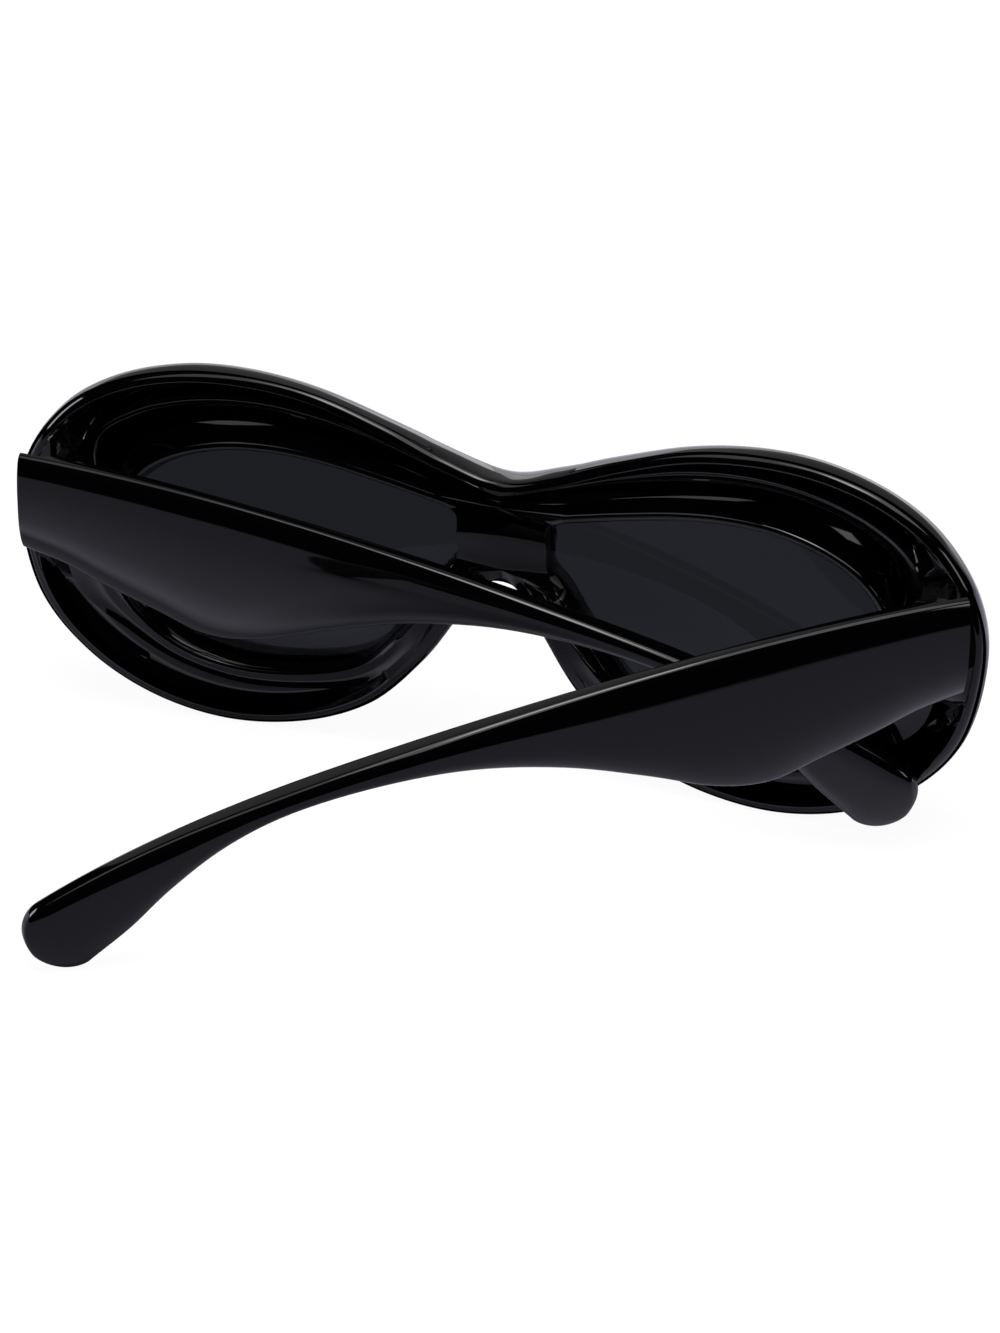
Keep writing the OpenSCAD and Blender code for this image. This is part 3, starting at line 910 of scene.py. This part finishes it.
def floor_material():
    material, nodes, links, shader = new_material("floor_white")
    shader.inputs["Roughness"].default_value = 0.9
    shader.inputs["Specular IOR Level"].default_value = 0.0
    ray = nodes.new("ShaderNodeLightPath").outputs
    cool = nodes.new("ShaderNodeVectorMath")
    cool.operation = "SCALE"
    cool.inputs[0].default_value = sheet_tint
    # The painted light and painted shade of the sheet go into its colour for mirrored rays.
    links.new(painted_sheet_level(nodes, links), cool.inputs["Scale"])
    tint = nodes.new("ShaderNodeMix")
    tint.data_type = "RGBA"
    tint.inputs["A"].default_value = floor_grey
    links.new(cool.outputs["Vector"], tint.inputs["B"])
    links.new(ray["Is Glossy Ray"], tint.inputs["Factor"])
    links.new(tint.outputs["Result"], shader.inputs["Base Color"])
    glow = nodes.new("ShaderNodeEmission")
    glow.inputs["Strength"].default_value = white_strength
    share = joined(nodes, links, "MULTIPLY", ray["Is Camera Ray"], white_share)
    mix = nodes.new("ShaderNodeMixShader")
    links.new(joined(nodes, links, "MAXIMUM", share, ray["Is Transmission Ray"]), mix.inputs["Fac"])
    links.new(shader.outputs["BSDF"], mix.inputs[1])
    links.new(glow.outputs["Emission"], mix.inputs[2])
    links.new(mix.outputs["Shader"], nodes["Material Output"].inputs["Surface"])
    return material


floor_reach = 3.0
shape = bmesh.new()
bmesh.ops.create_grid(shape, x_segments=1, y_segments=1, size=floor_reach)
floor = bpy.data.objects.new("floor", to_mesh(shape, "floor"))
bpy.context.scene.collection.objects.link(floor)
floor.data.materials.append(floor_material())
print("floor: %.0f m wide" % floor.dimensions.x)

# %% [markdown]
# The lamps are soft panels, since their shapes show in the gloss. The key lights the floor and stays out of
# the reflections. Two panels and a small lamp hang overhead, one stands at each side, and three pale ones
# beyond the front draw the thin lines on its edges. A panel's power is worked out from its brightness and its
# area, so a larger panel gives more light but doesn't look brighter in the gloss.

# %% Lamps
def softbox(name, place, aim, size, bright, in_gloss=True):
    lamp = bpy.data.lights.new(name, "AREA")
    lamp.shape = "RECTANGLE"
    lamp.size, lamp.size_y = size
    lamp.energy = bright * pi * size[0] * size[1]
    box = bpy.data.objects.new(name, lamp)
    box.location = place
    box.rotation_euler = (Vector(aim) - Vector(place)).to_track_quat("-Z", "Y").to_euler()
    box.visible_glossy = in_gloss
    bpy.context.scene.collection.objects.link(box)


on_floor, half_way_up = (0, 0, 0), (0, 0, 0.03)
softbox("key", (0.0, 0.25, 1.1), on_floor, (0.9, 0.5), 6.0, in_gloss=False)
softbox("ceiling", (-0.3, 0.3, 1.0), on_floor, (0.7, 1.0), 1.8)
softbox("ceiling_edge", (0.3, 0.3, 1.0), on_floor, (0.5, 1.0), 1.0)
softbox("lamp", (-0.16, 0.31, 0.95), on_floor, (0.24, 0.34), 6.0)
softbox("side_left", (0.80, 0.03, 0.22), half_way_up, (0.30, 0.30), 5.0)
softbox("side_right", (-0.75, 0.28, 0.30), half_way_up, (0.30, 0.30), 2.5)
softbox("backdrop", (0.0, -1.0, 0.9), half_way_up, (3.0, 1.8), 0.32)
softbox("backdrop_low", (0.15, -0.95, 0.13), half_way_up, (2.0, 0.32), 0.85)
softbox("backdrop_right", (-0.30, -0.92, 0.15), half_way_up, (0.9, 0.30), 0.8)
print("lamps:", len(bpy.data.lights))

# %% [markdown]
# The room is dark for every ray but the camera's, which sees a white background.

# %% World
room_dark, room_white = 0.004, 1.0
world = bpy.data.worlds.new("dim_room")
world.use_nodes = True
bpy.context.scene.world = world
room = world.node_tree.nodes["Background"]
room.inputs["Color"].default_value = (1, 1, 1, 1)
camera_ray = world.node_tree.nodes.new("ShaderNodeLightPath").outputs["Is Camera Ray"]
strength = mapped(world.node_tree.nodes, world.node_tree.links, camera_ray, room_dark, room_white)
world.node_tree.links.new(strength, room.inputs["Strength"])
bpy.context.scene.view_settings.view_transform = "Standard"
print("world:", world.name)

# %% [markdown]
# The photo was taken from behind and above with a long lens. The bearing, height and distance were found by
# fitting the front's outline, and they are stated in the front's own upright space. The picture is 1333
# pixels high. The sensor's size counts along its longer side, which gives the focal length.

# %% Camera
bearing, height, roll = radians(16.781), radians(31.576), radians(0.52)
distance = 781.5
aim = Vector((-6.57, 20.0, 0.73))
image_h = 1333
focal_px = 5371.0

outward = Vector((-sin(bearing) * cos(height), cos(bearing) * cos(height), sin(height)))
right = (-outward).cross(Vector((0, 0, 1))).normalized()
up = right.cross(-outward)
turned_right = cos(roll) * right + sin(roll) * up
turned_up = -sin(roll) * right + cos(roll) * up
place = stood @ (aim + outward * distance)
axes = [stood.to_3x3() @ axis for axis in (turned_right, turned_up, outward)]

optics = bpy.data.cameras.new("camera")
optics.sensor_fit = "AUTO"
optics.sensor_width = 36.0
optics.lens = focal_px / image_h * optics.sensor_width
optics.clip_start, optics.clip_end = 0.01, 20.0
camera = bpy.data.objects.new("camera", optics)
camera.matrix_world = Matrix.Translation(place * mm) @ Matrix(axes).transposed().to_4x4()
bpy.context.scene.collection.objects.link(camera)
bpy.context.scene.camera = camera
print("focal length: %.0f mm" % optics.lens)
